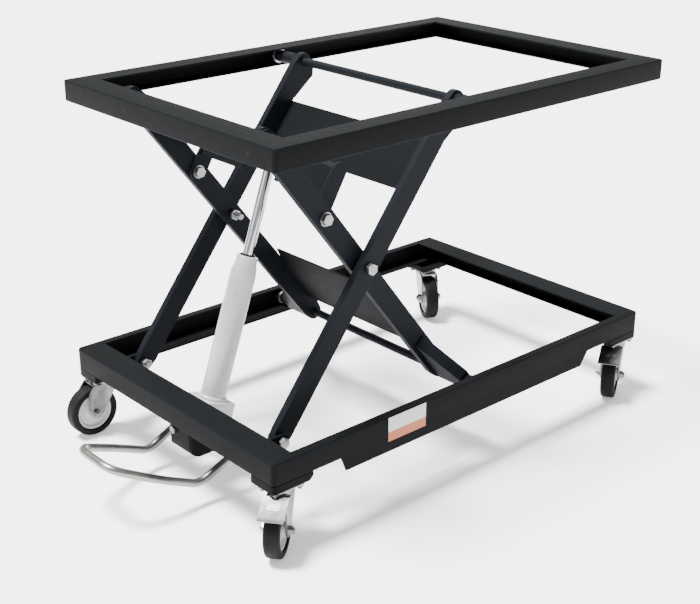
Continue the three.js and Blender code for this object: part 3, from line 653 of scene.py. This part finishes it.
# %% Casters
for node in sorted(nodes):
    if node.startswith(("caster_plate", "caster_fork", "brake_pedal")):
        finished(node, zinc, 0.9, 3)
TYRE = [(37.3, -14.2), (44, -14.5), (48.2, -13.2), (50, -10), (50, 10), (48.2, 13.2), (44, 14.5),
        (37.3, 14.2), (37.3, -14.2)]
HUB = [(5.3, -16), (13, -16), (13, -7), (18, -5), (30, -5), (33, -10), (37, -10.5), (37, 10.5),
       (33, 10), (30, 5), (18, 5), (13, 7), (13, 16), (5.3, 16), (5.3, -16)]
CORNERS = ("front_right", "back_right", "front_left", "back_left")
TREAD_RUN = 39.0
TREAD_FALL = 18.2
TREAD_AHEAD = 0.0525
TREAD_HEIGHT = 0.1039
for corner in CORNERS:
    axle = Vector(joints[f"wheel_{corner}"]["axis"])
    hub_at = Vector(joints[f"wheel_{corner}"]["pos_m"])
    wheel = f"wheel_{corner}"
    turned(f"tyre_{corner}", TYRE, hub_at, axle, rubber, wheel, (f"caster_tyre_{corner}",),
           2.5, 96)
    turned(f"hub_{corner}", HUB, hub_at, axle, hub_plastic, wheel, (f"caster_hub_{corner}",),
           1.2, 96)
    if corner.endswith("right"):
        kingpin = Vector(joints[f"swivel_{corner}"]["pos_m"])
        ahead = Vector((hub_at.x - kingpin.x, hub_at.y - kingpin.y, 0.0)).normalized()
        down = (ahead * TREAD_RUN - Vector((0.0, 0.0, TREAD_FALL))).normalized()
        out = down.cross(axle).normalized()
        out = out if out.z > 0 else -out
        middle = Vector((kingpin.x, kingpin.y, 0.0)) + ahead * TREAD_AHEAD + Vector((0.0, 0.0, TREAD_HEIGHT))
        for k, (half_y, half_run) in enumerate(((11.0, 6.5), (7.0, 2.8))):
            boss = bmesh.new()
            bmesh.ops.create_cube(boss, size=1.0)
            turn = Matrix((axle * half_y * 2, down * half_run * 2, out * (1.2 + 0.9 * k))).transposed() * MM
            boss.transform(Matrix.Translation(middle + out * 0.4 * MM) @ turn.to_4x4())
            bmesh.ops.recalc_face_normals(boss, faces=boss.faces)
            bmesh.ops.bevel(boss, geom=boss.edges, offset=0.45 * MM, segments=3, affect="EDGES")
            mark_sharp(boss)
            adopt(object_from(boss, f"tread_emboss_{corner}_{k}", zinc), f"brake_{corner}", ())
print("casters drawn")

# %% [markdown]
# ## Bolts that repeat
# The same hexagon bolt on a washer holds the lever plates and the caster plates. A Geometry Nodes tree
# makes one bolt from its sizes, sets it on every point of a small mesh and turns it to face the way the
# point says. A tree suits this because one change of size changes every bolt.


# %% Bolt tree
def socket(tree, name, kind, value=None):
    item = tree.interface.new_socket(name=name, in_out="INPUT", socket_type=kind)
    if value is not None:
        item.default_value = value
    return item.identifier


def cylinder_node(tree, radius, depth, sides, lift):
    """A cylinder from Radius and Depth sockets, raised so that it stands on lift."""
    shape = tree.nodes.new("GeometryNodeMeshCylinder")
    shape.inputs["Vertices"].default_value = sides
    tree.links.new(radius, shape.inputs["Radius"])
    tree.links.new(depth, shape.inputs["Depth"])
    half = tree.nodes.new("ShaderNodeMath")
    half.operation = "MULTIPLY_ADD"
    half.inputs[1].default_value = 0.5
    tree.links.new(depth, half.inputs[0])
    if isinstance(lift, float):
        half.inputs[2].default_value = lift
    else:
        tree.links.new(lift, half.inputs[2])
    place = tree.nodes.new("ShaderNodeCombineXYZ")
    tree.links.new(half.outputs[0], place.inputs["Z"])
    move = tree.nodes.new("GeometryNodeTransform")
    tree.links.new(shape.outputs["Mesh"], move.inputs["Geometry"])
    tree.links.new(place.outputs[0], move.inputs["Translation"])
    return move.outputs["Geometry"]


def bolt_tree():
    tree = bpy.data.node_groups.new("hex_bolts", "GeometryNodeTree")
    tree.interface.new_socket(name="Geometry", in_out="INPUT", socket_type="NodeSocketGeometry")
    tree.interface.new_socket(name="Geometry", in_out="OUTPUT", socket_type="NodeSocketGeometry")
    names = {"Head Radius": 0.008, "Head Height": 0.0055, "Washer Radius": 0.010, "Washer Height": 0.0015}
    ids = {name: socket(tree, name, "NodeSocketFloat", value) for name, value in names.items()}
    ids["Material"] = socket(tree, "Material", "NodeSocketMaterial")
    given = tree.nodes.new("NodeGroupInput").outputs
    out = tree.nodes.new("NodeGroupOutput")
    washer = cylinder_node(tree, given["Washer Radius"], given["Washer Height"], 40, 0.0)
    head = cylinder_node(tree, given["Head Radius"], given["Head Height"], 6, 0.0015)
    crown_r = tree.nodes.new("ShaderNodeMath")
    crown_r.operation = "MULTIPLY"
    crown_r.inputs[1].default_value = 0.78
    tree.links.new(given["Head Radius"], crown_r.inputs[0])
    raised = tree.nodes.new("ShaderNodeMath")
    raised.operation = "MULTIPLY"
    raised.inputs[1].default_value = 0.3
    tree.links.new(given["Head Height"], raised.inputs[0])
    top = cylinder_node(tree, crown_r.outputs[0], raised.outputs[0], 32, 0.0065)
    join = tree.nodes.new("GeometryNodeJoinGeometry")
    for part in (washer, head, top):
        tree.links.new(part, join.inputs["Geometry"])
    facing = tree.nodes.new("GeometryNodeInputNamedAttribute")
    facing.data_type = "FLOAT_VECTOR"
    facing.inputs["Name"].default_value = "facing"
    align = tree.nodes.new("FunctionNodeAlignRotationToVector")
    align.axis = "Z"
    tree.links.new(facing.outputs["Attribute"], align.inputs["Vector"])
    place = tree.nodes.new("GeometryNodeInstanceOnPoints")
    tree.links.new(given["Geometry"], place.inputs["Points"])
    tree.links.new(join.outputs["Geometry"], place.inputs["Instance"])
    tree.links.new(align.outputs["Rotation"], place.inputs["Rotation"])
    real = tree.nodes.new("GeometryNodeRealizeInstances")
    tree.links.new(place.outputs["Instances"], real.inputs["Geometry"])
    paint = tree.nodes.new("GeometryNodeSetMaterial")
    tree.links.new(real.outputs["Geometry"], paint.inputs["Geometry"])
    tree.links.new(given["Material"], paint.inputs["Material"])
    tree.links.new(paint.outputs["Geometry"], out.inputs["Geometry"])
    return tree, ids


hex_bolts, bolt_ids = bolt_tree()
print("bolt tree has", len(hex_bolts.nodes), "nodes")


# %% Set the bolts
def grown(name, mesh, tree, ids, values, body):
    """Evaluates a tree on a mesh and keeps the result as a plain mesh on a body."""
    source = bpy.data.objects.new(name, mesh)
    bpy.context.scene.collection.objects.link(source)
    modifier = source.modifiers.new("grow", "NODES")
    modifier.node_group = tree
    for key, value in values.items():
        modifier[ids[key]] = value
    bpy.context.view_layer.update()
    graph = bpy.context.evaluated_depsgraph_get()
    made = bpy.data.meshes.new_from_object(source.evaluated_get(graph), depsgraph=graph)
    source.modifiers.remove(modifier)
    source.data = made
    for polygon in made.polygons:
        polygon.use_smooth = False
    return adopt(source, body, ())


def bolts(name, places, body, **sizes):
    mesh = bpy.data.meshes.new(name)
    mesh.from_pydata([p for p, _ in places], [], [])
    facing = mesh.attributes.new("facing", "FLOAT_VECTOR", "POINT")
    for i, (_, way) in enumerate(places):
        facing.data[i].vector = way
    return grown(name, mesh, hex_bolts, bolt_ids, {**sizes, "Material": zinc}, body)


ARM_FACE = 0.192
LEVER_FACE = 0.1717
PLATE_BOLT_X = 0.026
PLATE_BOLT_Y = 0.018
PLATE_THICK = 0.003
lever_sizes = {"Head Radius": 0.0105, "Head Height": 0.007, "Washer Radius": 0.0125}
plate_sizes = {"Head Radius": 0.005, "Head Height": 0.0035, "Washer Radius": 0.0065}
lever_places = []
for side in (1, -1):
    lever_places.append((lever_foot + Vector((0, side * ARM_FACE, 0)), (0, side, 0)))
    lever_places.append((lever_foot + Vector((0, side * LEVER_FACE, 0)), (0, -side, 0)))
bolts("lever_bolts", lever_places, "inner_arms", **lever_sizes)
plate_places = []
for corner in CORNERS:
    low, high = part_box(f"caster_plate_{corner}")
    centre = (Vector(low) + Vector(high)) / 2
    for dx in (-PLATE_BOLT_X, PLATE_BOLT_X):
        for dy in (-PLATE_BOLT_Y, PLATE_BOLT_Y):
            under = Vector((centre.x + dx, centre.y + dy, high[2] - PLATE_THICK))
            plate_places.append((under, (0, 0, -1)))
bolts("caster_plate_bolts", plate_places, "base", **plate_sizes)
print("bolts set", len(lever_places) + len(plate_places))

# %% [markdown]
# ## Weld beads
# Where a plate is welded to a tube the bead looks like a row of overlapping coins. The second tree lays
# small balls along a line at a fixed pitch, each a little larger or smaller from a fixed seed.


# %% Weld tree
def weld_tree():
    tree = bpy.data.node_groups.new("weld_beads", "GeometryNodeTree")
    tree.interface.new_socket(name="Geometry", in_out="INPUT", socket_type="NodeSocketGeometry")
    tree.interface.new_socket(name="Geometry", in_out="OUTPUT", socket_type="NodeSocketGeometry")
    ids = {"Pitch": socket(tree, "Pitch", "NodeSocketFloat", 0.0016),
           "Bead Radius": socket(tree, "Bead Radius", "NodeSocketFloat", 0.0026),
           "Seed": socket(tree, "Seed", "NodeSocketInt", 7),
           "Material": socket(tree, "Material", "NodeSocketMaterial")}
    given = tree.nodes.new("NodeGroupInput").outputs
    out = tree.nodes.new("NodeGroupOutput")
    curve = tree.nodes.new("GeometryNodeMeshToCurve")
    tree.links.new(given["Geometry"], curve.inputs["Mesh"])
    sample = tree.nodes.new("GeometryNodeResampleCurve")
    sample.mode = "LENGTH"
    tree.links.new(curve.outputs["Curve"], sample.inputs["Curve"])
    tree.links.new(given["Pitch"], sample.inputs["Length"])
    ball = tree.nodes.new("GeometryNodeMeshIcoSphere")
    ball.inputs["Subdivisions"].default_value = 2
    tree.links.new(given["Bead Radius"], ball.inputs["Radius"])
    uneven = tree.nodes.new("FunctionNodeRandomValue")
    uneven.data_type = "FLOAT"
    uneven.inputs[2].default_value = 0.85
    uneven.inputs[3].default_value = 1.15
    tree.links.new(given["Seed"], uneven.inputs["Seed"])
    place = tree.nodes.new("GeometryNodeInstanceOnPoints")
    tree.links.new(sample.outputs["Curve"], place.inputs["Points"])
    tree.links.new(ball.outputs["Mesh"], place.inputs["Instance"])
    tree.links.new(uneven.outputs[1], place.inputs["Scale"])
    real = tree.nodes.new("GeometryNodeRealizeInstances")
    tree.links.new(place.outputs["Instances"], real.inputs["Geometry"])
    paint = tree.nodes.new("GeometryNodeSetMaterial")
    tree.links.new(real.outputs["Geometry"], paint.inputs["Geometry"])
    tree.links.new(given["Material"], paint.inputs["Material"])
    tree.links.new(paint.outputs["Geometry"], out.inputs["Geometry"])
    return tree, ids


weld_beads, weld_ids = weld_tree()


def welds(name, lines, body, material, radius=0.0022):
    """Beads along straight lines, each given by its two ends."""
    mesh = bpy.data.meshes.new(name)
    ends = [end for line in lines for end in line]
    edges = [(2 * i, 2 * i + 1) for i in range(len(lines))]
    mesh.from_pydata(ends, edges, [])
    return grown(name, mesh, weld_beads, weld_ids, {"Bead Radius": radius, "Material": material}, body)


print("weld tree has", len(weld_beads.nodes), "nodes")

# %% Lay the welds
CROSS_PLATE_EDGE = 0.2000
CROSS_PLATE_RUNS = ((0.06, 0.24), (0.40, 0.60), (0.76, 0.94))
LUG_WELDS = (0.2165, 0.2215)
LUG_WELD_LOW = 0.141
LUG_WELD_HIGH = 0.166
low, high = (Vector(v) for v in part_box("upper_cross_plate"))
run = Vector((high.x - low.x, 0, high.z - low.z))
lines = []
for side in (1, -1):
    y = table.y + side * CROSS_PLATE_EDGE
    for start, end in CROSS_PLATE_RUNS:
        base_point = Vector((low.x + 0.0016, y, low.z + 0.0012))
        lines.append((base_point + run * start * 0.985, base_point + run * end * 0.985))
welds("cross_plate_welds", lines, "outer_arms", arm_coat)
lines = []
for side in (1, -1):
    for y in LUG_WELDS:
        lines.append((Vector((base_low.x + 0.0035, table.y + side * y, LUG_WELD_LOW)),
                      Vector((base_low.x + 0.0035, table.y + side * y, LUG_WELD_HIGH))))
welds("base_lug_welds", lines, "base", frame_coat)
print("welds laid")

# %% [markdown]
# ## Floor and light
# A wide pale floor runs out of sight under one soft sun, and two soft lights stand beside the table.

# %% Floor and light
floor = Finish("floor", (0.93, 0.915, 0.935), 0.8)
floor.shader.inputs["Emission Color"].default_value = (1.0, 1.0, 1.0, 1.0)
floor.shader.inputs["Emission Strength"].default_value = 0.35
floor.bump(floor.noise(40.0), 0.0001, 0.05)
bm = bmesh.new()
bmesh.ops.create_grid(bm, x_segments=1, y_segments=1, size=30.0)
ground = object_from(bm, "floor", floor.material)

world = bpy.data.worlds.new("studio")
world.use_nodes = True
world.node_tree.nodes["Background"].inputs["Color"].default_value = (1.0, 1.0, 1.0, 1.0)
world.node_tree.nodes["Background"].inputs["Strength"].default_value = 0.9
bpy.context.scene.world = world


def soft_light(name, at, size, power):
    data = bpy.data.lights.new(name, "AREA")
    data.shape = "DISK"
    data.size = size
    data.energy = power
    obj = bpy.data.objects.new(name, data)
    obj.location = table + Vector(at)
    target = table + Vector((0.0, 0.0, 0.35))
    obj.rotation_euler = (target - obj.location).to_track_quat("-Z", "Y").to_euler()
    bpy.context.scene.collection.objects.link(obj)


sun_data = bpy.data.lights.new("overhead", "SUN")
sun_data.energy = 15.0
sun_data.angle = math.radians(17)
sun = bpy.data.objects.new("overhead", sun_data)
sun.rotation_euler = Vector((0.30, -0.22, -1.0)).to_track_quat("-Z", "Y").to_euler()
bpy.context.scene.collection.objects.link(sun)
soft_light("fill", (-3.0, 0.6, 1.6), 2.0, 25.0)
soft_light("rim", (2.2, 2.4, 2.6), 2.0, 35.0)
print("lights placed")
